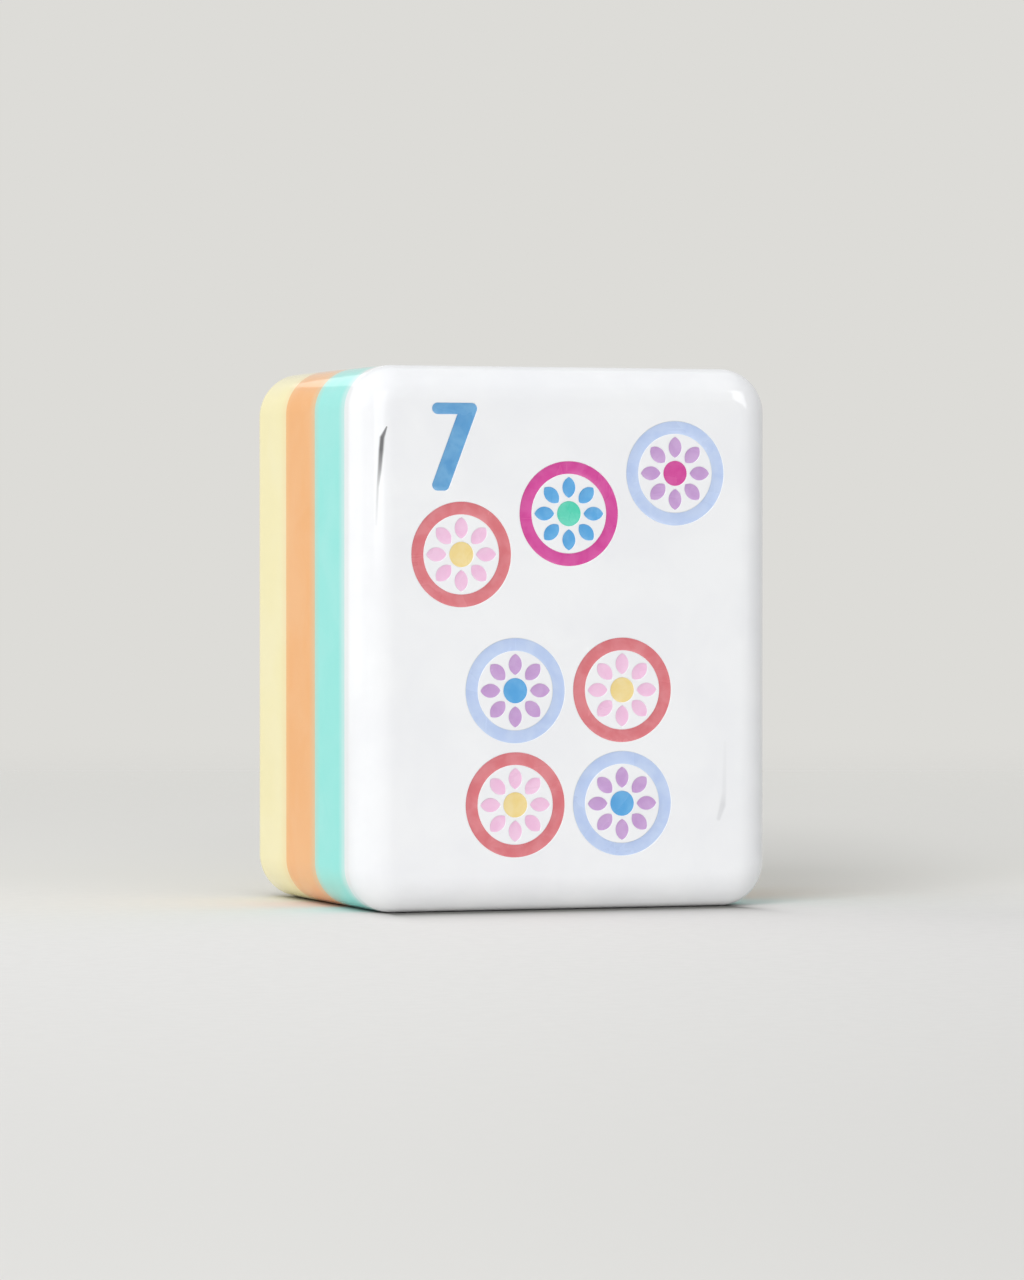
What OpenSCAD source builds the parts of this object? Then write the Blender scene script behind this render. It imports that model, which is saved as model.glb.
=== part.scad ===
// Mahjong tile, the seven of dots, standing on its short end with its face towards -Y.
// Four slabs of cast resin are bonded into one block with rounded corners and edges.
// The index numeral and the dots are engraved in the front slab and filled with enamel.
// The origin is the centre of the base, +X is to the right of the face and +Z is up.

/* [Tile] */
// Height of the tile as it stands
tile_h = 30; // [26:0.5:44]
// Width of the tile across its face
tile_w = 24.3; // [20.1:0.1:29.5]
// Radius of the four corners, seen from the front
corner_r = 2.5; // [2.1:0.1:5]
// Radius of the rounded edge round the face and round the back
edge_r = 2; // [0.6:0.1:2.3]

/* [Layers] */
// Thickness of the white slab that carries the engraved face
face_t = 2.6; // [2.1:0.1:6]
// Thickness of the mint slab
mint_t = 5.3; // [1:0.1:9]
// Thickness of the orange slab
orange_t = 5.3; // [1:0.1:9]
// Thickness of the yellow slab at the back
back_t = 6.8; // [2.2:0.1:10]

/* [Engraving] */
// Depth of the engraving
engrave_depth = 0.4; // [0.2:0.05:1]
// How far the enamel lies below the face
enamel_drop = 0.04; // [0.01:0.01:0.15]
// Bare face between the rounded edge and the outermost dots
dot_margin = 1; // [0.4:0.1:2]
// Bare face between the rounded edge and the top of the numeral
numeral_margin = 0.1; // [0.1:0.1:2]
// Bare face between the rounded edge and the left end of the numeral
numeral_side = 2.2; // [0.4:0.1:3]

/* [Dots] */
// Bare face between neighbouring dots
dot_gap = 0.5; // [0.2:0.1:1.2]
// Width of the rim round each dot, as a share of the dot's diameter
rim_share = 0.12; // [0.06:0.01:0.15]
// Bare face between a dot's rim, its petals and its pip, as a share of the dot's diameter
petal_gap_share = 0.03; // [0.02:0.005:0.06]
// Diameter of the pip in the middle of each dot, as a share of the dot's diameter
pip_share = 0.24; // [0.12:0.01:0.3]
// Petals in each dot
petal_count = 8; // [5:1:10]

/* [Numeral] */
// Height of the numeral
numeral_h = 4.8; // [3:0.1:6]
// Width of the numeral
numeral_w = 2.6; // [2:0.1:4]
// Thickness of the numeral's bar
numeral_stroke = 0.62; // [0.4:0.02:0.8]
// Width of the numeral's leg
leg_w = 1; // [0.8:0.05:1.4]
// Bare face between the numeral and the dot below it
numeral_gap = 0.6; // [0.2:0.1:1.5]

/* [Hidden] */
$fn = 96;
// How far a cutting solid runs past the face
overrun = 0.2;

// Depth of the whole tile, and where each bond lies above the back
tile_d = back_t + orange_t + mint_t + face_t;
orange_z = back_t;
mint_z = orange_z + orange_t;
face_z = mint_z + mint_t;
engrave_z = tile_d - engrave_depth;
enamel_t = engrave_depth - enamel_drop;

// Straight stretches between the corners
straight_w = tile_w - 2 * corner_r;
straight_h = tile_h - 2 * corner_r;

// The numeral hangs below the top edge, and the first dot of the slanting row lies below it
numeral_low = tile_h - edge_r - numeral_margin - numeral_h;
slant_low_top = numeral_low - numeral_gap;

// The dots are as large as three abreast, or three in height below the numeral, leave room for
dots_low = edge_r + dot_margin;
dots_high = tile_h - dots_low;
dots_w = tile_w - 2 * dots_low;
dot_d = min((dots_w - 2 * dot_gap) / 3, (slant_low_top - dots_low - 2 * dot_gap) / 3);
dot_pitch = dot_d + dot_gap;

// Places of the dots: a slanting row of three above a square of four
slant_x = (dots_w - dot_d) / 2;
slant_low = slant_low_top - dot_d / 2;
slant_high = dots_high - dot_d / 2;
slant_mid = (slant_low + slant_high) / 2;
square_x = dot_pitch / 2;
square_low = dots_low + dot_d / 2;
square_high = square_low + dot_pitch;

// The rim and the pip grow with the dot, and petals fill the ring between them
rim_w = dot_d * rim_share;
petal_gap = dot_d * petal_gap_share;
pip_d = dot_d * pip_share;
petal_tip_r = dot_d / 2 - rim_w - petal_gap;
petal_root_r = pip_d / 2 + petal_gap;
petal_mid_r = (petal_tip_r + petal_root_r) / 2;
petal_l = petal_tip_r - petal_root_r;
// Width of a petal as a share of its length, or as much as its neighbours leave room for
petal_width_share = 0.66;
petal_pitch = 2 * petal_mid_r * sin(180 / petal_count);
petal_w = min(petal_l * petal_width_share, petal_pitch - petal_gap);
petal_arc_r = (petal_l * petal_l + petal_w * petal_w) / (4 * petal_w);

// Middles of the numeral's rounded corners: along the bar, then down the leg to its foot,
// which stands below the bar's left end
numeral_left = edge_r + numeral_side - tile_w / 2;
bar_start = [numeral_stroke / 2, numeral_h - numeral_stroke / 2];
bar_end = [numeral_w - numeral_stroke / 2, numeral_h - numeral_stroke / 2];
foot_left = [numeral_stroke / 2, numeral_stroke / 2];
foot_right = [leg_w - numeral_stroke / 2, numeral_stroke / 2];
leg = foot_right - bar_end;
leg_angle = atan2(leg[1], leg[0]);
outer_angle = leg_angle + 90;
arc_steps = 12;

// Enamel colours
blue = "#4f9fdc";
coral = "#d9737a";
pink = "#f3b9dc";
yellow = "#f2d48a";
magenta = "#cf3c93";
sky = "#58a9e2";
green = "#4fd0b0";
lavender = "#bf93cf";
periwinkle = "#b4c8f0";

// Each dot: its name, its place on the face, and the colours of its rim, petals and pip
DOTS = [
    ["slant_low", [-slant_x, slant_low], coral, pink, yellow],
    ["slant_mid", [0, slant_mid], magenta, sky, green],
    ["slant_high", [slant_x, slant_high], periwinkle, lavender, magenta],
    ["square_upper_left", [-square_x, square_high], periwinkle, lavender, sky],
    ["square_upper_right", [square_x, square_high], coral, pink, yellow],
    ["square_lower_left", [-square_x, square_low], coral, pink, yellow],
    ["square_lower_right", [square_x, square_low], periwinkle, lavender, sky]
];
LAYERS = ["yellow_back", "orange_layer", "mint_layer", "face_block"];
DOT_NODES = [for (dot = DOTS, piece = ["_rim", "_petals", "_pip"]) str(dot[0], piece)];

// Points of an arc about a centre
function arc(centre, r, from, to) =
    [for (i = [0:arc_steps]) let (a = from + (to - from) * i / arc_steps) centre + r * [cos(a), sin(a)]];

// Outline of the numeral, a thin bar and a broad leg with rounded corners
function numeral_outline(half) =
    let (leg_side = foot_left - half * [cos(outer_angle), sin(outer_angle)])
    let (up = (bar_end[1] - half - leg_side[1]) / leg[1])
    concat(
        arc(bar_start, half, 90, 270),
        [leg_side + up * leg],
        arc(foot_left, half, outer_angle + 180, 270),
        arc(foot_right, half, 270, outer_angle + 360),
        arc(bar_end, half, outer_angle, 90)
    );

// Stands the tile up: drawn lying on its back, with the top of the face towards +Y
module stand() {
    translate([0, tile_d / 2, 0]) rotate([90, 0, 0]) children();
}

// Section of a slab from a corner's centre outwards, with its upper outer edge rounded
module edge_section(thickness, round_r) {
    square([corner_r, thickness - round_r]);
    if (round_r > 0) {
        translate([0, thickness - round_r]) square([corner_r - round_r, round_r]);
        translate([corner_r - round_r, thickness - round_r]) intersection() {
            circle(r = round_r);
            square(round_r);
        }
    }
}

// A slab: its section is turned round each corner and drawn along each side of a plain core
module slab(thickness, round_r) {
    corner_sides = [[1, 1], [-1, 1], [-1, -1], [1, -1]];
    translate([-straight_w / 2, corner_r, 0]) cube([straight_w, straight_h, thickness]);
    for (turn = [0:3]) {
        side_l = turn % 2 == 0 ? straight_h : straight_w;
        corner_x = corner_sides[turn][0] * straight_w / 2;
        corner_y = tile_h / 2 + corner_sides[turn][1] * straight_h / 2;
        translate([corner_x, corner_y, 0]) rotate([0, 0, 90 * turn]) {
            rotate_extrude(angle = 90) edge_section(thickness, round_r);
            rotate([90, 0, 0]) linear_extrude(side_l) edge_section(thickness, round_r);
        }
    }
}

// Raises a flat shape from the floor of the engraving
module from_floor(height) {
    translate([0, 0, engrave_z]) linear_extrude(height) children();
}

module numeral_shape() {
    translate([numeral_left, numeral_low]) polygon(numeral_outline(numeral_stroke / 2));
}

module rim_shape() {
    difference() {
        circle(d = dot_d);
        circle(d = dot_d - 2 * rim_w);
    }
}

// A petal is the lens where two arcs cross
module petal_shape() {
    arc_offset = petal_arc_r - petal_w / 2;
    intersection() {
        translate([0, arc_offset]) circle(r = petal_arc_r);
        translate([0, -arc_offset]) circle(r = petal_arc_r);
    }
}

module petals_shape() {
    for (i = [0:petal_count - 1]) rotate(360 * i / petal_count) translate([petal_mid_r, 0]) petal_shape();
}

module pip_shape() {
    circle(d = pip_d);
}

module yellow_back() {
    color("#f6e9b8") stand() translate([0, 0, back_t]) mirror([0, 0, 1]) slab(back_t, edge_r);
}

module orange_layer() {
    color("#f7c08e") stand() translate([0, 0, orange_z]) slab(orange_t, 0);
}

module mint_layer() {
    color("#a9ebe4") stand() translate([0, 0, mint_z]) slab(mint_t, 0);
}

module face_block() {
    color("#f4f5f7") stand() difference() {
        translate([0, 0, face_z]) slab(face_t, edge_r);
        from_floor(engrave_depth + overrun) {
            numeral_shape();
            for (dot = DOTS) translate(dot[1]) {
                rim_shape();
                petals_shape();
                pip_shape();
            }
        }
    }
}

module numeral() {
    color(blue) stand() from_floor(enamel_t) numeral_shape();
}

module dot_rim(dot) {
    color(dot[2]) stand() from_floor(enamel_t) translate(dot[1]) rim_shape();
}

module dot_petals(dot) {
    color(dot[3]) stand() from_floor(enamel_t) translate(dot[1]) petals_shape();
}

module dot_pip(dot) {
    color(dot[4]) stand() from_floor(enamel_t) translate(dot[1]) pip_shape();
}

yellow_back();
orange_layer();
mint_layer();
face_block();
numeral();
for (dot = DOTS) {
    dot_rim(dot);
    dot_petals(dot);
    dot_pip(dot);
}
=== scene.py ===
import math

import bmesh
import bpy
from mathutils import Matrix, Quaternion, Vector, geometry


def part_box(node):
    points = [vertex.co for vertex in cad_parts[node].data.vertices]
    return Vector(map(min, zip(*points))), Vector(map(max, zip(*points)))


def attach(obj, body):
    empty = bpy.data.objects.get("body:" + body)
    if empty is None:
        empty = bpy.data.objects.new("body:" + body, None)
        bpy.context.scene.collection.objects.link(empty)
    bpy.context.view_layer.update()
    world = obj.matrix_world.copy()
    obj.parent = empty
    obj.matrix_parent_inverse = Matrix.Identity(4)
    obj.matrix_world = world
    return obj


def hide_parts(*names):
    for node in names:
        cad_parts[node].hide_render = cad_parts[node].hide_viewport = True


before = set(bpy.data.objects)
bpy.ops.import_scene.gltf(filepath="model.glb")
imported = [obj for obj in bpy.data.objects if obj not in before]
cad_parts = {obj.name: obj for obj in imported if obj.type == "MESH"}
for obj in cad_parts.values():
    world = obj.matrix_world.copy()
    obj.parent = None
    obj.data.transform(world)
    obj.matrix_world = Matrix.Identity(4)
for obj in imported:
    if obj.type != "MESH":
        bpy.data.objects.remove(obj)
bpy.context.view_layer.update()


# The back slab is the thickest layer of the tile, pale yellow resin cast as a plate.
# It is bonded behind the orange slab, and its rear edge is rounded and polished with the whole block.

yellow_low, yellow_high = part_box("yellow_back")
half_w = yellow_high.x
tile_h = yellow_high.z
tile_d = 2 * yellow_high.y
corner_r = 0.0025
edge_r = 0.002
corner_steps = 32
edge_steps = 40
land = 0.00004
crease_angle = math.radians(12)


def slab_outline(inset):
    """Outline of the tile from the front, as (x, z) points, drawn in by the inset."""
    points = []
    for turn, (side, rise) in enumerate([(1, 1), (-1, 1), (-1, -1), (1, -1)]):
        middle_x = side * (half_w - corner_r)
        middle_z = tile_h / 2 + rise * (tile_h / 2 - corner_r)
        r = corner_r - inset
        for step in range(corner_steps + 1):
            angle = math.radians(90 * (turn + step / corner_steps))
            points.append((middle_x + r * math.cos(angle), middle_z + r * math.sin(angle)))
    return points


def rounded_edge(edge_y, inward):
    """Sections (inset, y) from the straight side round to the flat, which starts with a narrow land."""
    sections = []
    for step in range(edge_steps + 1):
        angle = math.radians(90 * step / edge_steps)
        inset = edge_r - edge_r * math.cos(angle)
        sections.append((inset, edge_y + inward * edge_r * (1 - math.sin(angle))))
    return sections + [(edge_r + land, edge_y)]


def ring_of_points(bm, points, y):
    """Vertices along an outline of (x, z) points, all at one depth."""
    return [bm.verts.new((x, y, z)) for x, z in points]


def bridge(bm, ring, next_ring):
    """A band of faces between two rings with equally many points."""
    for i in range(len(ring)):
        bm.faces.new((ring[i - 1], ring[i], next_ring[i], next_ring[i - 1]))


def slab_rings(bm, sections):
    """The skin of a slab through its sections (inset, y), without the two flats."""
    rings = [ring_of_points(bm, slab_outline(inset), y) for inset, y in sections]
    for ring, next_ring in zip(rings, rings[1:]):
        bridge(bm, ring, next_ring)
    return rings


def seat_piece(name, bm, material, node):
    """Turns a finished shape into a piece that takes a CAD node's place."""
    bmesh.ops.recalc_face_normals(bm, faces=bm.faces[:])
    mesh = bpy.data.meshes.new(name)
    bm.to_mesh(mesh)
    bm.free()
    mesh.shade_smooth()
    mesh.set_sharp_from_angle(angle=crease_angle)
    mesh.materials.append(material)
    piece = bpy.data.objects.new(name, mesh)
    bpy.context.scene.collection.objects.link(piece)
    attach(piece, "root")
    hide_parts(node)


def paint(hex_code):
    """A colour as it looks on screen, as the linear value that the shader takes."""
    channels = [int(hex_code[i:i + 2], 16) / 255 for i in (1, 3, 5)]
    return tuple(c / 12.92 if c <= 0.04045 else ((c + 0.055) / 1.055) ** 2.4 for c in channels) + (1,)


def shader_group(name, inputs, outputs):
    """An empty shader group with its sockets, and the two nodes that carry them."""
    group = bpy.data.node_groups.new(name, "ShaderNodeTree")
    for socket, kind, value in inputs:
        group.interface.new_socket(socket, in_out="INPUT", socket_type=kind).default_value = value
    for socket, kind in outputs:
        group.interface.new_socket(socket, in_out="OUTPUT", socket_type=kind)
    return group, group.nodes.new("NodeGroupInput"), group.nodes.new("NodeGroupOutput")


def feed(tree, socket, value):
    """Links a value that another node puts out, or sets a plain one."""
    if isinstance(value, bpy.types.NodeSocket):
        tree.links.new(value, socket)
    elif value is not None:
        socket.default_value = value


def math_node(tree, operation, first, second=None, clamp=False):
    node = tree.nodes.new("ShaderNodeMath")
    node.operation, node.use_clamp = operation, clamp
    feed(tree, node.inputs[0], first)
    feed(tree, node.inputs[1], second)
    return node.outputs[0]


def vector_node(tree, operation, first, second=None, scale=None):
    node = tree.nodes.new("ShaderNodeVectorMath")
    node.operation = operation
    feed(tree, node.inputs[0], first)
    feed(tree, node.inputs[1], second)
    feed(tree, node.inputs[3], scale)
    return node.outputs[1 if operation in ("DOT_PRODUCT", "DISTANCE", "LENGTH") else 0]


def noise_node(tree, vector, scale, detail, distortion=0.0):
    node = tree.nodes.new("ShaderNodeTexNoise")
    feed(tree, node.inputs["Vector"], vector)
    feed(tree, node.inputs["Scale"], scale)
    feed(tree, node.inputs["Detail"], detail)
    feed(tree, node.inputs["Distortion"], distortion)
    return node.outputs[0]


def ramp_node(tree, value, low, high):
    """Spreads a value between two limits over 0 to 1, gently at both ends."""
    node = tree.nodes.new("ShaderNodeMapRange")
    node.interpolation_type = "SMOOTHSTEP"
    feed(tree, node.inputs["Value"], value)
    feed(tree, node.inputs["From Min"], low)
    feed(tree, node.inputs["From Max"], high)
    return node.outputs["Result"]


def mix_colour(tree, share, first, second):
    node = tree.nodes.new("ShaderNodeMix")
    node.data_type = "RGBA"
    feed(tree, node.inputs["Factor"], share)
    feed(tree, node.inputs[6], first)
    feed(tree, node.inputs[7], second)
    return node.outputs[2]


def mix_value(tree, share, first, second):
    node = tree.nodes.new("ShaderNodeMix")
    feed(tree, node.inputs["Factor"], share)
    feed(tree, node.inputs[2], first)
    feed(tree, node.inputs[3], second)
    return node.outputs[0]


# Pigment that didn't mix quite evenly: soft clouds of a second tint.
pigment_cloud, given, put_out = shader_group(
    "pigment_cloud",
    [("Position", "NodeSocketVector", (0, 0, 0)), ("Tint", "NodeSocketColor", (1, 1, 1, 1)),
     ("Cloud Tint", "NodeSocketColor", (1, 1, 1, 1)), ("Cloud Scale", "NodeSocketFloat", 200.0),
     ("Amount", "NodeSocketFloat", 1.0)],
    [("Tint", "NodeSocketColor")])
clouds = noise_node(
    pigment_cloud, given.outputs["Position"], given.outputs["Cloud Scale"], detail=3.0, distortion=0.4)
cloud_share = math_node(
    pigment_cloud, "MULTIPLY", ramp_node(pigment_cloud, clouds, low=0.3, high=0.7), given.outputs["Amount"])
clouded = mix_colour(pigment_cloud, cloud_share, given.outputs["Tint"], given.outputs["Cloud Tint"])
pigment_cloud.links.new(clouded, put_out.inputs["Tint"])

# What tumbling in polish leaves: faint waves, hairlines in two directions, and smears of lower gloss.
tumble_polish, given, put_out = shader_group(
    "tumble_polish",
    [("Position", "NodeSocketVector", (0, 0, 0)), ("Gloss Roughness", "NodeSocketFloat", 0.08),
     ("Smear Roughness", "NodeSocketFloat", 0.16), ("Wave Scale", "NodeSocketFloat", 140.0)],
    [("Roughness", "NodeSocketFloat"), ("Height", "NodeSocketFloat")])
hairline_stretches = ((260.0, 900.0, 5200.0), (4600.0, 800.0, 240.0))
hairline_dulling = 0.5
hairline_depth = 0.02
spot = given.outputs["Position"]
smears = noise_node(tumble_polish, spot, scale=190.0, detail=4.0, distortion=0.8)
smear = ramp_node(tumble_polish, smears, low=0.42, high=0.72)
hairline = 0.0
for stretch in hairline_stretches:
    stretched = vector_node(tumble_polish, "MULTIPLY", spot, stretch)
    streaks = noise_node(tumble_polish, stretched, scale=1.0, detail=2.0, distortion=0.3)
    lines = ramp_node(tumble_polish, streaks, low=0.66, high=0.74)
    hairline = math_node(tumble_polish, "MAXIMUM", lines, hairline)
dulled = math_node(tumble_polish, "MULTIPLY", hairline, hairline_dulling)
dullness = math_node(tumble_polish, "ADD", smear, dulled, clamp=True)
roughness = mix_value(
    tumble_polish, dullness, given.outputs["Gloss Roughness"], given.outputs["Smear Roughness"])
tumble_polish.links.new(roughness, put_out.inputs["Roughness"])
wave = noise_node(tumble_polish, spot, given.outputs["Wave Scale"], detail=1.0)
scratch = math_node(tumble_polish, "MULTIPLY", hairline, hairline_depth)
tumble_polish.links.new(math_node(tumble_polish, "SUBTRACT", wave, scratch), put_out.inputs["Height"])

# Rounded edges are rubbed most in play: a mask from how near a point lies to two faces of the block. On the
# white slab the same mask also lays painted shade, through a darker edge tint.
edge_wear_and_shade, given, put_out = shader_group(
    "edge_wear_and_shade",
    [("Position", "NodeSocketVector", (0, 0, 0)), ("Middle", "NodeSocketVector", (0, 0, 0)),
     ("Half Size", "NodeSocketVector", (0.01, 0.01, 0.01)), ("Reach", "NodeSocketFloat", 0.002)],
    [("Wear", "NodeSocketFloat")])
from_middle = vector_node(edge_wear_and_shade, "SUBTRACT", given.outputs["Position"], given.outputs["Middle"])
outwards = vector_node(edge_wear_and_shade, "ABSOLUTE", from_middle)
face_gaps = vector_node(edge_wear_and_shade, "SUBTRACT", given.outputs["Half Size"], outwards)
to_faces = edge_wear_and_shade.nodes.new("ShaderNodeSeparateXYZ")
edge_wear_and_shade.links.new(face_gaps, to_faces.inputs[0])
gap_x, gap_y, gap_z = to_faces.outputs
second_gap = math_node(
    edge_wear_and_shade, "MAXIMUM", math_node(edge_wear_and_shade, "MINIMUM", gap_x, gap_y),
    math_node(edge_wear_and_shade, "MINIMUM", math_node(edge_wear_and_shade, "MAXIMUM", gap_x, gap_y), gap_z))
farness = ramp_node(edge_wear_and_shade, second_gap, 0.0, given.outputs["Reach"])
closeness = math_node(edge_wear_and_shade, "SUBTRACT", 1.0, farness)
patchiness = noise_node(edge_wear_and_shade, given.outputs["Position"], scale=520.0, detail=3.0)
patches = ramp_node(edge_wear_and_shade, patchiness, low=0.3, high=0.65)
edge_wear_and_shade.links.new(math_node(edge_wear_and_shade, "MULTIPLY", closeness, patches), put_out.inputs["Wear"])


def place_group(tree, group, **values):
    """Places a group in a material, with a value for each of its inputs."""
    node = tree.nodes.new("ShaderNodeGroup")
    node.node_tree = group
    for name, value in values.items():
        feed(tree, node.inputs[name.replace("_", " ").title()], value)
    return node


def new_material(name):
    """A material, its node tree, its shader, and the place of a point on the piece that wears it."""
    material = bpy.data.materials.new(name)
    material.use_nodes = True
    tree = material.node_tree
    spot = tree.nodes.new("ShaderNodeTexCoord").outputs["Object"]
    return material, tree, tree.nodes["Principled BSDF"], spot


def add_relief(tree, shader, polish, depth):
    """Turns the height that the polish leaves into a relief of the given depth."""
    bump = tree.nodes.new("ShaderNodeBump")
    bump.inputs["Strength"].default_value = 1.0
    bump.inputs["Distance"].default_value = depth
    tree.links.new(polish.outputs["Height"], bump.inputs["Height"])
    tree.links.new(bump.outputs["Normal"], shader.inputs["Normal"])


gloss_ior = 1.5
resin_relief = 0.000006
wear_and_shade_share = 0.4
worn_roughness = 0.01


def resin(name, tint, cloud_tint, wear_and_shade_tint):
    """Polished cast resin, with faint pigment clouds, tumbling marks and edges rubbed a little duller; the
    edge tint is paler wear on the coloured slabs and painted shade where it is darker.
    """
    material, tree, shader, spot = new_material(name)
    tinted = place_group(
        tree, pigment_cloud, position=spot, tint=tint, cloud_tint=cloud_tint, cloud_scale=230.0, amount=1.0)
    polish = place_group(
        tree, tumble_polish, position=spot, gloss_roughness=0.025, smear_roughness=0.07, wave_scale=150.0)
    edge = place_group(tree, edge_wear_and_shade, position=spot, middle=(0, 0, tile_h / 2),
                       half_size=(half_w, tile_d / 2, tile_h / 2), reach=edge_r)
    wear_and_shade_mix = math_node(tree, "MULTIPLY", edge.outputs["Wear"], wear_and_shade_share)
    tree.links.new(mix_colour(tree, wear_and_shade_mix, tinted.outputs["Tint"], wear_and_shade_tint), shader.inputs["Base Color"])
    dulled = math_node(tree, "MULTIPLY", edge.outputs["Wear"], worn_roughness)
    tree.links.new(math_node(tree, "ADD", polish.outputs["Roughness"], dulled), shader.inputs["Roughness"])
    add_relief(tree, shader, polish, resin_relief)
    shader.inputs["IOR"].default_value = gloss_ior
    return material


yellow_tint = paint("#faf0b6")
yellow_resin = resin("yellow_resin", yellow_tint, paint("#fbf2be"), paint("#fcf5cc"))
bm = bmesh.new()
rings = slab_rings(bm, [(0.0, yellow_low.y)] + rounded_edge(yellow_high.y, -1))
bm.faces.new(rings[0])
bm.faces.new(rings[-1])
seat_piece("back_slab", bm, yellow_resin, "yellow_back")


# The orange slab is a cast plate of opaque resin, cemented between the mint slab and the yellow back.
# Its sides are ground flush with its neighbours after the block is bonded.

orange_low, orange_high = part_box("orange_layer")
orange_tint = paint("#f8af61")
orange_resin = resin("orange_resin", orange_tint, paint("#f9b670"), paint("#fac690"))

# Light passes a little way through the resin, so each slab takes on some of its neighbour's colour
# at their bond. That glow is painted into the slab's colour.
bond_glow, given, put_out = shader_group(
    "bond_glow",
    [("Position", "NodeSocketVector", (0, 0, 0)), ("Bond", "NodeSocketFloat", 0.0),
     ("Reach", "NodeSocketFloat", 0.001), ("Share", "NodeSocketFloat", 0.15)],
    [("Glow", "NodeSocketFloat")])
across = bond_glow.nodes.new("ShaderNodeSeparateXYZ")
bond_glow.links.new(given.outputs["Position"], across.inputs[0])
from_bond = math_node(bond_glow, "SUBTRACT", across.outputs["Y"], given.outputs["Bond"])
away = math_node(bond_glow, "ABSOLUTE", from_bond)
near_bond = math_node(bond_glow, "SUBTRACT", 1.0, ramp_node(bond_glow, away, 0.0, given.outputs["Reach"]))
glow = math_node(bond_glow, "MULTIPLY", near_bond, given.outputs["Share"])
bond_glow.links.new(glow, put_out.inputs["Glow"])


def paint_bond_glow(material, bond_y, neighbour_tint, share, reach):
    """Paints a neighbour's colour into a slab near their bond, as a glow of the light that passes through
    the resin.
    """
    tree = material.node_tree
    base = tree.nodes["Principled BSDF"].inputs["Base Color"]
    own = base.links[0].from_socket
    spot = tree.nodes.new("ShaderNodeTexCoord").outputs["Object"]
    glow = place_group(tree, bond_glow, position=spot, bond=bond_y, reach=reach, share=share)
    tree.links.new(mix_colour(tree, glow.outputs["Glow"], own, neighbour_tint), base)


# Painted glow at the bond of the yellow and orange slabs.
paint_bond_glow(yellow_resin, orange_high.y, orange_tint, share=0.17, reach=0.0014)
paint_bond_glow(orange_resin, orange_high.y, yellow_tint, share=0.1, reach=0.0009)


def plain_slab(name, low, high, material, node):
    """A slab with straight sides, flat in front and behind."""
    bm = bmesh.new()
    rings = slab_rings(bm, [(0.0, low.y), (0.0, high.y)])
    bm.faces.new(rings[0])
    bm.faces.new(rings[-1])
    seat_piece(name, bm, material, node)


plain_slab("orange_slab", orange_low, orange_high, orange_resin, "orange_layer")


# The mint slab is a second cast plate of the same thickness, cemented behind the white face.
# It is ground flush and polished with the block.

mint_low, mint_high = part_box("mint_layer")
mint_tint = paint("#89ebe2")
mint_resin = resin("mint_resin", mint_tint, paint("#95ede5"), paint("#aef2eb"))
# Painted glow at the bond of the orange and mint slabs.
paint_bond_glow(orange_resin, mint_high.y, mint_tint, share=0.19, reach=0.0012)
paint_bond_glow(mint_resin, mint_high.y, orange_tint, share=0.2, reach=0.001)
plain_slab("mint_slab", mint_low, mint_high, mint_resin, "mint_layer")


# The face block is the white front slab. A numeral and seven dots are engraved in it with a small
# cutter, its front edge is rounded, and polishing breaks the sharp lips of the engraving.

face_low, face_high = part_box("face_block")
face_y = face_low.y
floor_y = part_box("numeral")[1].y
lip = 0.00003
round_steps = 96
pip_steps = 48
petal_steps = 14
cap_steps = 24

# Each dot's place and size come from its rim, its pip and its ring of petals.
dot_names = ["slant_low", "slant_mid", "slant_high", "square_upper_left", "square_upper_right",
             "square_lower_left", "square_lower_right"]
dot_places = {}
for dot in dot_names:
    rim_low, rim_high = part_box(dot + "_rim")
    dot_places[dot] = ((rim_low.x + rim_high.x) / 2, (rim_low.z + rim_high.z) / 2)
dot_r = (rim_high.x - rim_low.x) / 2
pip_r = (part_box("slant_low_pip")[1].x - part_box("slant_low_pip")[0].x) / 2
petal_tip_r = (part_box("slant_low_petals")[1].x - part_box("slant_low_petals")[0].x) / 2
rim_share = 0.12
petal_width_share = 0.66
rim_w = rim_share * 2 * dot_r
petal_gap = dot_r - rim_w - petal_tip_r
petal_root_r = pip_r + petal_gap
petal_count = 8
petal_l = petal_tip_r - petal_root_r
petal_w = petal_width_share * petal_l
petal_mid_r = (petal_tip_r + petal_root_r) / 2

# The numeral has a thin bar and a broad leg, whose rounded corners fill the box of its own recess.
numeral_low, numeral_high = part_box("numeral")
numeral_stroke = 0.00062
leg_w = 0.001
bar_start = Vector((numeral_low.x + numeral_stroke / 2, numeral_high.z - numeral_stroke / 2))
bar_end = Vector((numeral_high.x - numeral_stroke / 2, numeral_high.z - numeral_stroke / 2))
foot_left = Vector((numeral_low.x + numeral_stroke / 2, numeral_low.z + numeral_stroke / 2))
foot_right = Vector((numeral_low.x + leg_w - numeral_stroke / 2, numeral_low.z + numeral_stroke / 2))


def arc(middle, r, start, end, steps):
    """Points along an arc, with both of its ends."""
    angles = [start + (end - start) * i / steps for i in range(steps + 1)]
    return [(middle[0] + r * math.cos(a), middle[1] + r * math.sin(a)) for a in angles]


def round_outline(middle, r, steps):
    return arc(middle, r, 0, 2 * math.pi, steps)[:-1]


def petal_outline(middle, turn, grow):
    """The lens where two arcs cross, turned about the middle of its dot."""
    arc_r = (petal_l ** 2 + petal_w ** 2) / (4 * petal_w)
    shift = arc_r - petal_w / 2
    half_angle = math.acos(shift / (arc_r + grow))
    side = arc((0, -shift), arc_r + grow, math.pi / 2 - half_angle, math.pi / 2 + half_angle, petal_steps)
    points = side[:-1] + [(-x, -z) for x, z in side][:-1]
    return [(middle[0] + (petal_mid_r + x) * math.cos(turn) - z * math.sin(turn),
             middle[1] + (petal_mid_r + x) * math.sin(turn) + z * math.cos(turn)) for x, z in points]


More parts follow.
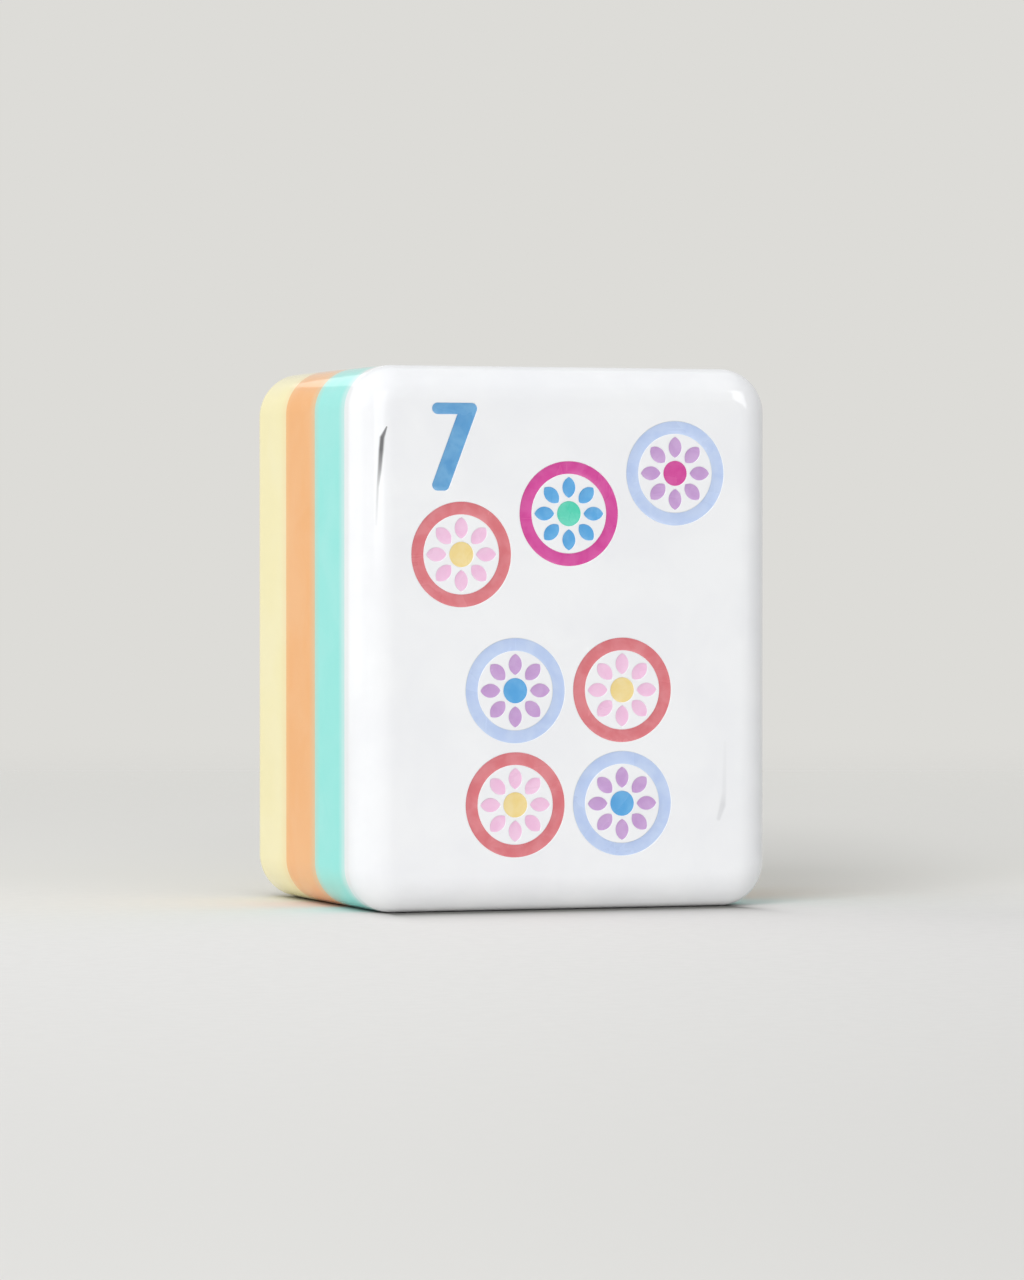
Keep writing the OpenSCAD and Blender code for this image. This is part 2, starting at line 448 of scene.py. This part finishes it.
def numeral_outline(half):
    """The numeral with corners of radius half, which is half the bar's thickness at the recess's walls."""
    leg = foot_right - bar_end
    outer_angle = math.atan2(leg.y, leg.x) + math.pi / 2
    leg_side = foot_left - half * Vector((math.cos(outer_angle), math.sin(outer_angle)))
    inner = leg_side + leg * ((bar_end.y - half - leg_side.y) / leg.y)
    return (arc(bar_start, half, math.pi / 2, 3 * math.pi / 2, cap_steps) + [tuple(inner)]
            + arc(foot_left, half, outer_angle + math.pi, 3 * math.pi / 2, cap_steps)
            + arc(foot_right, half, 3 * math.pi / 2, outer_angle + 2 * math.pi, cap_steps)
            + arc(bar_end, half, outer_angle, math.pi / 2, cap_steps))


def openings(grow):
    """Outlines of every cut in the face, widened by grow: one for a pocket, two for a groove."""
    cuts = [[numeral_outline(numeral_stroke / 2 + grow)]]
    for middle in dot_places.values():
        cuts.append([round_outline(middle, dot_r + grow, round_steps),
                     round_outline(middle, dot_r - rim_w - grow, round_steps)])
        cuts.append([round_outline(middle, pip_r + grow, pip_steps)])
        for i in range(petal_count):
            cuts.append([petal_outline(middle, 2 * math.pi * i / petal_count, grow)])
    return cuts


def holds(outline, x, z):
    """Whether a point lies inside an outline."""
    inside = False
    for (xa, za), (xb, zb) in zip(outline, outline[1:] + outline[:1]):
        if (za > z) != (zb > z) and x < xa + (xb - xa) * (z - za) / (zb - za):
            inside = not inside
    return inside


def closed_loop(first, count):
    """Edges that join points, numbered from the first on, into a loop."""
    return [(first + (i - 1) % count, first + i) for i in range(count)]


def bare_face(bm, border, cuts):
    """Fills the flat between the border and the lips of the cuts, worked out in millimetres."""
    verts, edges = list(border), closed_loop(0, len(border))
    outlines = []
    for rings in cuts:
        for ring in rings:
            edges += closed_loop(len(verts), len(ring))
            verts += ring
            points = [(v.co.x, v.co.z) for v in ring]
            xs, zs = zip(*points)
            outlines.append((points, min(xs), max(xs), min(zs), max(zs)))
    to_mm = 1000
    tolerance_mm = 1e-7
    within_border = 1
    flat, _, faces, sources, _, _ = geometry.delaunay_2d_cdt(
        [Vector((v.co.x * to_mm, v.co.z * to_mm)) for v in verts], edges, [], within_border, tolerance_mm)
    for face in faces:
        x, z = sum((flat[i] for i in face), Vector((0, 0))) / len(face) / to_mm
        crossed = sum(
            x0 < x < x1 and z0 < z < z1 and holds(points, x, z) for points, x0, x1, z0, z1 in outlines)
        if crossed % 2 == 0:
            bm.faces.new([verts[sources[i][0]] for i in face])


# A painted dark reflection and a faint grey one, streaked over the white: a mask along a line whose
# width and strength run from one end to the other.
reflection_streak, given, put_out = shader_group(
    "reflection_streak",
    [("Position", "NodeSocketVector", (0, 0, 0)), ("Start", "NodeSocketVector", (0, 0, 0)),
     ("End", "NodeSocketVector", (0, 0, 0.001)), ("Start Width", "NodeSocketFloat", 0.0003),
     ("End Width", "NodeSocketFloat", 0.0001), ("Start Share", "NodeSocketFloat", 1.0),
     ("End Share", "NodeSocketFloat", 0.0)],
    [("Mark", "NodeSocketFloat")])
run = vector_node(reflection_streak, "SUBTRACT", given.outputs["End"], given.outputs["Start"])
from_start = vector_node(reflection_streak, "SUBTRACT", given.outputs["Position"], given.outputs["Start"])
along = math_node(
    reflection_streak, "DIVIDE", vector_node(reflection_streak, "DOT_PRODUCT", from_start, run),
    vector_node(reflection_streak, "DOT_PRODUCT", run, run), clamp=True)
nearest = vector_node(reflection_streak, "SCALE", run, scale=along)
away = vector_node(reflection_streak, "DISTANCE", from_start, nearest)
width = mix_value(reflection_streak, along, given.outputs["Start Width"], given.outputs["End Width"])
off_line = math_node(reflection_streak, "DIVIDE", away, width)
core = math_node(reflection_streak, "SUBTRACT", 1.0, ramp_node(reflection_streak, off_line, low=0.25, high=1.0))
strength = mix_value(reflection_streak, along, given.outputs["Start Share"], given.outputs["End Share"])
reflection_streak.links.new(math_node(reflection_streak, "MULTIPLY", core, strength), put_out.inputs["Mark"])

white_tint = paint("#f1f2f4")
# The white's edge tint is darker than the white itself: painted shade on its rounded edges.
white_resin = resin("white_resin", white_tint, paint("#f5f6f7"), paint("#eaebed"))
# Painted glow at the bond of the white and mint slabs.
paint_bond_glow(white_resin, face_high.y, mint_tint, share=0.06, reach=0.0008)
paint_bond_glow(mint_resin, face_high.y, white_tint, share=0.44, reach=0.0012)


def paint_reflection_streak(material, colour, stretches):
    """Paints a streak of a few stretches into a material's colour: place, width and strength at each end.
    """
    tree = material.node_tree
    base = tree.nodes["Principled BSDF"].inputs["Base Color"]
    spot = tree.nodes.new("ShaderNodeTexCoord").outputs["Object"]
    unstreaked, mark = base.links[0].from_socket, 0.0
    for (start, start_width, start_share), (end, end_width, end_share) in zip(stretches, stretches[1:]):
        stretch = place_group(
            tree, reflection_streak, position=spot, start=start, start_width=start_width, start_share=start_share,
            end=end, end_width=end_width, end_share=end_share)
        mark = math_node(tree, "MAXIMUM", stretch.outputs["Mark"], mark)
    tree.links.new(mix_colour(tree, mark, unstreaked, colour), base)


# The painted dark reflection lies along the rounded edge on the left, below the upper corner, and the
# painted grey one low on the right.
paint_reflection_streak(white_resin, paint("#525254"), [
    ((-0.010562, -0.009957, 0.026549), 0.00006, 0.75), ((-0.010798, -0.009892, 0.025977), 0.00019, 0.97),
    ((-0.010849, -0.009874, 0.025325), 0.0002, 0.97), ((-0.010925, -0.009844, 0.024237), 0.00016, 0.7),
    ((-0.011025, -0.009798, 0.023258), 0.0001, 0.32), ((-0.011099, -0.009761, 0.021245), 0.00009, 0.06)])
paint_reflection_streak(white_resin, paint("#8a8c90"), [
    ((0.009247, -0.01, 0.00923), 0.00012, 0.03), ((0.009187, -0.01, 0.006405), 0.0002, 0.1),
    ((0.0091, -0.01, 0.0057), 0.00026, 0.22), ((0.008858, -0.01, 0.004965), 0.00018, 0.16)])

bm = bmesh.new()
rings = slab_rings(bm, [(0.0, face_high.y)] + rounded_edge(face_y, 1))
bm.faces.new(rings[0])
levels = [[[ring_of_points(bm, outline, y) for outline in cut] for cut in openings(grow)]
          for grow, y in ((lip, face_y), (0.0, face_y + lip), (0.0, floor_y))]
bare_face(bm, rings[-1], levels[0])
for level, next_level in zip(levels, levels[1:]):
    for cut, next_cut in zip(level, next_level):
        for ring, next_ring in zip(cut, next_cut):
            bridge(bm, ring, next_ring)
for cut in levels[-1]:
    if len(cut) == 1:
        bm.faces.new(cut[0])
    else:
        bridge(bm, cut[0], cut[1])
seat_piece("white_face", bm, white_resin, "face_block")


# The numeral is blue enamel, flooded into its own recess and wiped level.
# As it cures it shrinks a little, so its surface is hollow between the walls.

enamel_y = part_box("numeral")[0].y
enamel_relief = 0.00001
sag = 0.00003
sag_steps = 6


def pool(bm, outline_at):
    """Enamel in a pocket: a floor, upright walls, and a top that sags from the walls to the middle."""
    # The innermost ring is half a step wide, and a single face closes it.
    middle_step = 0.5
    shares = [1 - i / (sag_steps + middle_step) for i in range(sag_steps + 1)]
    rings = [ring_of_points(bm, outline_at(1.0), floor_y)]
    for share in shares:
        rings.append(ring_of_points(bm, outline_at(share), enamel_y + sag * (1 - share * share)))
    for ring, next_ring in zip(rings, rings[1:]):
        bridge(bm, ring, next_ring)
    bm.faces.new(rings[0])
    bm.faces.new(rings[-1])


def enamel(name, tint, thin_tint):
    """Poured enamel: softly glossy, with clouds where it lies thinner."""
    material, tree, shader, spot = new_material(name)
    tinted = place_group(
        tree, pigment_cloud, position=spot, tint=tint, cloud_tint=thin_tint, cloud_scale=1100.0, amount=0.8)
    polish = place_group(
        tree, tumble_polish, position=spot, gloss_roughness=0.2, smear_roughness=0.34, wave_scale=900.0)
    tree.links.new(tinted.outputs["Tint"], shader.inputs["Base Color"])
    tree.links.new(polish.outputs["Roughness"], shader.inputs["Roughness"])
    add_relief(tree, shader, polish, enamel_relief)
    shader.inputs["IOR"].default_value = gloss_ior
    return material


blue_enamel = enamel("blue_enamel", paint("#589bd0"), paint("#76b0da"))
bm = bmesh.new()
pool(bm, lambda share: numeral_outline(share * numeral_stroke / 2))
seat_piece("numeral_fill", bm, blue_enamel, "numeral")


# Each dot has a rim, a ring of enamel poured into a turned groove and wiped level with the face.
# Its surface is slightly hollow, as in the numeral.

enamels = {
    "coral": enamel("coral_enamel", paint("#d9737a"), paint("#e18a90")),
    "pink": enamel("pink_enamel", paint("#f1bfdf"), paint("#f4cde6")),
    "yellow": enamel("yellow_enamel", paint("#f1d78c"), paint("#f4e0a6")),
    "magenta": enamel("magenta_enamel", paint("#d23f97"), paint("#da5aa6")),
    "sky": enamel("sky_enamel", paint("#54a5e0"), paint("#70b5e6")),
    "green": enamel("green_enamel", paint("#50d3b4"), paint("#70dcc2")),
    "lavender": enamel("lavender_enamel", paint("#c399d0"), paint("#ceabd9")),
    "periwinkle": enamel("periwinkle_enamel", paint("#bacdf0"), paint("#c8d8f4")),
}
rim_colours = dict(zip(
    dot_names, ["coral", "magenta", "periwinkle", "periwinkle", "coral", "coral", "periwinkle"]))


def node_tree(name, inputs):
    """An empty Geometry Nodes tree that takes and gives geometry, with named sizes."""
    tree = bpy.data.node_groups.new(name, "GeometryNodeTree")
    tree.interface.new_socket("Geometry", in_out="INPUT", socket_type="NodeSocketGeometry")
    sockets = {}
    for socket, kind in inputs:
        sockets[socket] = tree.interface.new_socket(socket, in_out="INPUT", socket_type=kind)
    tree.interface.new_socket("Geometry", in_out="OUTPUT", socket_type="NodeSocketGeometry")
    return tree, tree.nodes.new("NodeGroupInput"), tree.nodes.new("NodeGroupOutput"), sockets


def grow_mesh(name, start, tree, sockets, values):
    """Runs a start mesh through a tree with its own values, and returns the result as a plain mesh."""
    maker = bpy.data.objects.new(name, start)
    bpy.context.scene.collection.objects.link(maker)
    modifier = maker.modifiers.new(name, "NODES")
    modifier.node_group = tree
    for socket, value in values.items():
        modifier[sockets[socket].identifier] = value
    made = bpy.data.meshes.new_from_object(maker.evaluated_get(bpy.context.evaluated_depsgraph_get()))
    maker.modifiers.remove(modifier)
    bpy.data.objects.remove(maker)
    return made


# The rim's section, drawn out from the middle of its width, is turned about the middle of the dot.
turned_rim, given, put_out, rim_sockets = node_tree(
    "turned_rim",
    [("Radius", "NodeSocketFloat"), ("Steps", "NodeSocketInt"), ("Middle", "NodeSocketVector"),
     ("Finish", "NodeSocketMaterial")])
section = turned_rim.nodes.new("GeometryNodeMeshToCurve")
path = turned_rim.nodes.new("GeometryNodeCurvePrimitiveCircle")
upright = turned_rim.nodes.new("GeometryNodeSetCurveNormal")
upright.mode = "Z_UP"
sweep = turned_rim.nodes.new("GeometryNodeCurveToMesh")
stand = turned_rim.nodes.new("GeometryNodeTransform")
stand.inputs["Rotation"].default_value = (math.pi / 2, 0, 0)
realize = turned_rim.nodes.new("GeometryNodeRealizeInstances")
finish = turned_rim.nodes.new("GeometryNodeSetMaterial")
for source, target in (
        (given.outputs["Geometry"], section.inputs["Mesh"]),
        (given.outputs["Radius"], path.inputs["Radius"]),
        (given.outputs["Steps"], path.inputs["Resolution"]),
        (path.outputs["Curve"], upright.inputs["Curve"]),
        (upright.outputs["Curve"], sweep.inputs["Curve"]),
        (section.outputs["Curve"], sweep.inputs["Profile Curve"]),
        (sweep.outputs["Mesh"], stand.inputs["Geometry"]),
        (given.outputs["Middle"], stand.inputs["Translation"]),
        (stand.outputs["Geometry"], realize.inputs["Geometry"]),
        (realize.outputs["Geometry"], finish.inputs["Geometry"]),
        (given.outputs["Finish"], finish.inputs["Material"]),
        (finish.outputs["Geometry"], put_out.inputs["Geometry"])):
    turned_rim.links.new(source, target)

rim_section = [(-rim_w / 2, floor_y), (rim_w / 2, floor_y)]
for i in range(2 * sag_steps + 1):
    share = 1 - i / sag_steps
    rim_section.append((share * rim_w / 2, enamel_y + sag * (1 - share * share)))
for dot in dot_names:
    section_mesh = bpy.data.meshes.new("rim_section")
    section_mesh.from_pydata([(x, y, 0) for x, y in rim_section], closed_loop(0, len(rim_section)), [])
    middle_x, middle_z = dot_places[dot]
    colour = rim_colours[dot]
    made = grow_mesh("turned_rim", section_mesh, turned_rim, rim_sockets, {
        "Radius": dot_r - rim_w / 2, "Steps": round_steps, "Middle": (middle_x, 0.0, middle_z),
        "Finish": enamels[colour]})
    bm = bmesh.new()
    bm.from_mesh(made)
    seat_piece(dot + "_rim_fill", bm, enamels[colour], dot + "_rim")


# Eight petals of enamel stand in a ring inside each rim, every one poured into its own lens-shaped
# pocket. They are wiped level like the rims.

petal_colours = dict(zip(dot_names, ["pink", "sky", "lavender", "lavender", "pink", "pink", "lavender"]))

ring_of_petals, given, put_out, petal_sockets = node_tree(
    "ring_of_petals",
    [("Count", "NodeSocketInt"), ("Middle", "NodeSocketVector"), ("Finish", "NodeSocketMaterial")])
points = ring_of_petals.nodes.new("GeometryNodePoints")
index = ring_of_petals.nodes.new("GeometryNodeInputIndex")
part_turn = math_node(ring_of_petals, "DIVIDE", -2 * math.pi, given.outputs["Count"])
turn = ring_of_petals.nodes.new("FunctionNodeAxisAngleToRotation")
turn.inputs["Axis"].default_value = (0, 1, 0)
petals = ring_of_petals.nodes.new("GeometryNodeInstanceOnPoints")
realize = ring_of_petals.nodes.new("GeometryNodeRealizeInstances")
finish = ring_of_petals.nodes.new("GeometryNodeSetMaterial")
for source, target in (
        (given.outputs["Count"], points.inputs["Count"]),
        (given.outputs["Middle"], points.inputs["Position"]),
        (math_node(ring_of_petals, "MULTIPLY", index.outputs["Index"], part_turn), turn.inputs["Angle"]),
        (points.outputs["Points"], petals.inputs["Points"]),
        (given.outputs["Geometry"], petals.inputs["Instance"]),
        (turn.outputs["Rotation"], petals.inputs["Rotation"]),
        (petals.outputs["Instances"], realize.inputs["Geometry"]),
        (realize.outputs["Geometry"], finish.inputs["Geometry"]),
        (given.outputs["Finish"], finish.inputs["Material"]),
        (finish.outputs["Geometry"], put_out.inputs["Geometry"])):
    ring_of_petals.links.new(source, target)


def drawn_in(outline, middle, share):
    """An outline shrunk towards a point."""
    return [(middle[0] + share * (x - middle[0]), middle[1] + share * (z - middle[1])) for x, z in outline]


for dot in dot_names:
    bm = bmesh.new()
    pool(bm, lambda share: drawn_in(petal_outline((0, 0), 0, 0), (petal_mid_r, 0), share))
    one_petal = bpy.data.meshes.new("petal")
    bm.to_mesh(one_petal)
    bm.free()
    middle_x, middle_z = dot_places[dot]
    colour = petal_colours[dot]
    made = grow_mesh("ring_of_petals", one_petal, ring_of_petals, petal_sockets, {
        "Count": petal_count, "Middle": (middle_x, 0.0, middle_z), "Finish": enamels[colour]})
    bm = bmesh.new()
    bm.from_mesh(made)
    seat_piece(dot + "_petal_fills", bm, enamels[colour], dot + "_petals")


# A round pip of enamel fills the middle of each dot, poured into a drilled pocket.
# It is wiped level with the face, and its surface is slightly hollow too.

pip_colours = dict(zip(dot_names, ["yellow", "green", "magenta", "sky", "yellow", "yellow", "sky"]))

for dot in dot_names:
    middle = dot_places[dot]
    bm = bmesh.new()
    pool(bm, lambda share: round_outline(middle, share * pip_r, pip_steps))
    colour = pip_colours[dot]
    seat_piece(dot + "_pip_fill", bm, enamels[colour], dot + "_pip")


# The tile stands on a matt sheet of warm white paper, lit so softly that its far end melts into the
# wall behind. The sheet is drawn as rings that widen outwards.

paper_r = 0.45
paper_rings = 24
paper_steps = 96
ring_widening = 1.5
view_turn = math.radians(19.723)
ring_angles = [2 * math.pi * k / paper_steps for k in range(paper_steps)]
bm = bmesh.new()
rings = []
for i in range(1, paper_rings + 1):
    r = paper_r * (i / paper_rings) ** ring_widening
    rings.append([bm.verts.new((r * math.cos(a), r * math.sin(a), 0)) for a in ring_angles])
bm.faces.new(rings[0])
for ring, next_ring in zip(rings, rings[1:]):
    bridge(bm, next_ring, ring)
for face in bm.faces:
    face.normal_update()
    if face.normal.z < 0:
        face.normal_flip()
mesh = bpy.data.meshes.new("paper")
bm.to_mesh(mesh)
bm.free()
paper = bpy.data.objects.new("paper", mesh)
bpy.context.scene.collection.objects.link(paper)
paper_white, tree, shader, spot = new_material("paper_white")
shader.inputs["Roughness"].default_value = 0.9
shader.inputs["Specular IOR Level"].default_value = 0.1
depth = vector_node(tree, "DOT_PRODUCT", spot, (math.sin(view_turn), math.cos(view_turn), 0))
fibre = place_group(
    tree, pigment_cloud, position=spot, tint=paint("#ebeae7"), cloud_tint=paint("#efeeeb"),
    cloud_scale=1100.0, amount=0.6)
# The sheet's colour is painted darkest near the camera, palest round the tile and a little darker behind
# it: painted shade that grades the light across the paper.
from_near_end = ramp_node(tree, depth, low=-0.17, high=-0.03)
to_far_end = ramp_node(tree, depth, low=0.0, high=0.034)
sheet = mix_colour(tree, from_near_end, paint("#e0dfdb"), fibre.outputs["Tint"])
sheet = mix_colour(tree, to_far_end, sheet, paint("#e8e7e2"))

# Close round the foot the paper lies in the tile's own shade, deepest under its rounded edge. The shade
# reaches further out in front than beside or behind the tile.
shade_reach = 0.0025
shade_share = 0.8
side_falloff = 3.5
foot_shift = 0.0015
foot_spot = vector_node(tree, "ABSOLUTE", vector_node(tree, "ADD", spot, (0, foot_shift, 0)))
out_of_foot = vector_node(tree, "MAXIMUM", vector_node(
    tree, "SUBTRACT", foot_spot, (half_w - edge_r, tile_d / 2 - foot_shift, 0)), (0, 0, 0))
out_of_foot = vector_node(tree, "MULTIPLY", out_of_foot, (side_falloff, 1.0, 0.0))
reaches = math_node(tree, "DIVIDE", vector_node(tree, "LENGTH", out_of_foot), -shade_reach)
shade = math_node(tree, "MULTIPLY", math_node(tree, "POWER", math.e, reaches), shade_share)

# Behind the tile, away from the lamps in front, lies a wide soft shadow, and the paper in front dims a
# little towards the right.
lee_share = 0.1
dim_share = 0.06
aside = vector_node(tree, "DOT_PRODUCT", spot, (math.cos(view_turn), -math.sin(view_turn), 0))
lee_start = ramp_node(tree, depth, low=-0.004, high=0.012)
lee_end = ramp_node(tree, depth, low=0.06, high=0.12)
lee_left = ramp_node(tree, aside, low=-0.036, high=0.012)
lee_right = ramp_node(tree, aside, low=0.016, high=0.033)
lee = math_node(tree, "MULTIPLY", math_node(tree, "SUBTRACT", lee_start, lee_end),
                math_node(tree, "SUBTRACT", lee_left, lee_right))
in_front = math_node(tree, "SUBTRACT", 1.0, ramp_node(tree, depth, low=-0.015, high=0.0))
dim = math_node(tree, "MULTIPLY", in_front, ramp_node(tree, aside, low=-0.01, high=0.03))
wide_shade = math_node(tree, "ADD", math_node(tree, "MULTIPLY", lee, lee_share),
                       math_node(tree, "MULTIPLY", dim, dim_share))
shade = math_node(tree, "ADD", shade, wide_shade, clamp=True)
shade = math_node(tree, "MULTIPLY", shade, tree.nodes.new("ShaderNodeLightPath").outputs["Is Camera Ray"])
sheet = mix_colour(tree, shade, sheet, paint("#2b2a26"))
tree.links.new(sheet, shader.inputs["Base Color"])

# Far behind the tile the sheet fades away, so that the wall shows through it.
clear = tree.nodes.new("ShaderNodeBsdfTransparent")
blend = tree.nodes.new("ShaderNodeMixShader")
tree.links.new(ramp_node(tree, depth, low=0.04, high=0.3), blend.inputs["Fac"])
tree.links.new(shader.outputs["BSDF"], blend.inputs[1])
tree.links.new(clear.outputs["BSDF"], blend.inputs[2])
tree.links.new(blend.outputs["Shader"], tree.nodes["Material Output"].inputs["Surface"])
paper.data.materials.append(paper_white)


# Studio light: a broad window behind on the left for the coloured layers, a softbox in front on the
# left for the face and the shadow, and a soft ceiling. The wall is the world's own colour as the camera
# and the gloss see it, and a dimmer white fills the shadows.

tile_middle = Vector((0, 0, tile_h / 2))


def softbox(name, azimuth, elevation, roll, distance, width, height, radiance):
    """An area lamp that faces the tile. Azimuth 0 is straight in front of it, and + lies to the right."""
    lamp = bpy.data.lights.new(name, "AREA")
    lamp.shape, lamp.size, lamp.size_y = "RECTANGLE", width, height
    lamp.energy = radiance * math.pi * width * height
    holder = bpy.data.objects.new(name, lamp)
    bpy.context.scene.collection.objects.link(holder)
    a, e = math.radians(azimuth), math.radians(elevation)
    towards = Vector((math.sin(a) * math.cos(e), -math.cos(a) * math.cos(e), math.sin(e)))
    holder.location = tile_middle + towards * distance
    facing = towards.to_track_quat("Z", "Y") @ Quaternion((0, 0, 1), math.radians(roll))
    holder.rotation_euler = facing.to_euler()
    holder.visible_camera = False
    return holder


softbox(
    "left_window", azimuth=-118, elevation=20, roll=0, distance=0.8, width=1.0, height=0.8, radiance=0.52)
left_key = softbox(
    "left_key", azimuth=-40, elevation=28, roll=0, distance=0.8, width=0.4, height=0.7, radiance=3.75)
left_key.visible_glossy = False
softbox(
    "ceiling", azimuth=0, elevation=88, roll=0, distance=0.7, width=1.1, height=1.1, radiance=0.36)

# Cards that only show in the gloss: one along the left edge of the face, a small window in the upper
# right corner, a slim line down the right edge, and a strip behind that runs over the upper corners of
# the coloured layers.
left_sheen = softbox(
    "left_sheen", azimuth=-29, elevation=21.2, roll=0, distance=0.8, width=0.48, height=0.6, radiance=1.5)
right_window = softbox(
    "right_window", azimuth=39, elevation=25, roll=-17, distance=0.7, width=0.28, height=0.37, radiance=3.4)
right_strip = softbox(
    "right_strip", azimuth=42, elevation=1.2, roll=0, distance=0.7, width=0.1, height=0.06, radiance=0.5)
back_strip = softbox(
    "back_strip", azimuth=182, elevation=22.0, roll=0, distance=0.8, width=0.49, height=0.1, radiance=0.5)
for card in (left_sheen, right_window, right_strip, back_strip):
    card.visible_diffuse = False

world = bpy.data.worlds.new("studio")
bpy.context.scene.world = world
world.use_nodes = True
tree = world.node_tree
wall = tree.nodes["Background"]
wall.inputs["Color"].default_value = paint("#dddcd8")
wall.inputs["Strength"].default_value = 1.0
fill = tree.nodes.new("ShaderNodeBackground")
fill.inputs["Color"].default_value = paint("#f6f7fa")
fill.inputs["Strength"].default_value = 0.53
rays = tree.nodes.new("ShaderNodeLightPath")
seen = rays.outputs["Is Camera Ray"]
for other_ray in ("Is Glossy Ray", "Is Transmission Ray"):
    seen = math_node(tree, "MAXIMUM", seen, rays.outputs[other_ray])
blend = tree.nodes.new("ShaderNodeMixShader")
tree.links.new(seen, blend.inputs["Fac"])
tree.links.new(fill.outputs["Background"], blend.inputs[1])
tree.links.new(wall.outputs["Background"], blend.inputs[2])
tree.links.new(blend.outputs["Shader"], tree.nodes["World Output"].inputs["Surface"])
bpy.context.scene.view_settings.view_transform = "Standard"


# The camera looks at the face from the left, level with the upper part of the tile, through a long
# lens. Its aim is given in pixels of the picture, below the horizon and to the side.

focal_px = 5724.446
aim_below_px = 72.45
aim_aside_px = 0.4
camera = bpy.data.objects.new("camera", bpy.data.cameras.new("camera"))
bpy.context.scene.collection.objects.link(camera)
camera.data.lens = 161.0
camera.data.sensor_width = 36.0
camera.location = (-0.10922, -0.30541, 0.018903)
camera.rotation_euler = (
    math.radians(90) - math.atan(aim_below_px / focal_px), 0, aim_aside_px / focal_px - view_turn)
camera.data.clip_start, camera.data.clip_end = 0.01, 10.0
bpy.context.scene.camera = camera
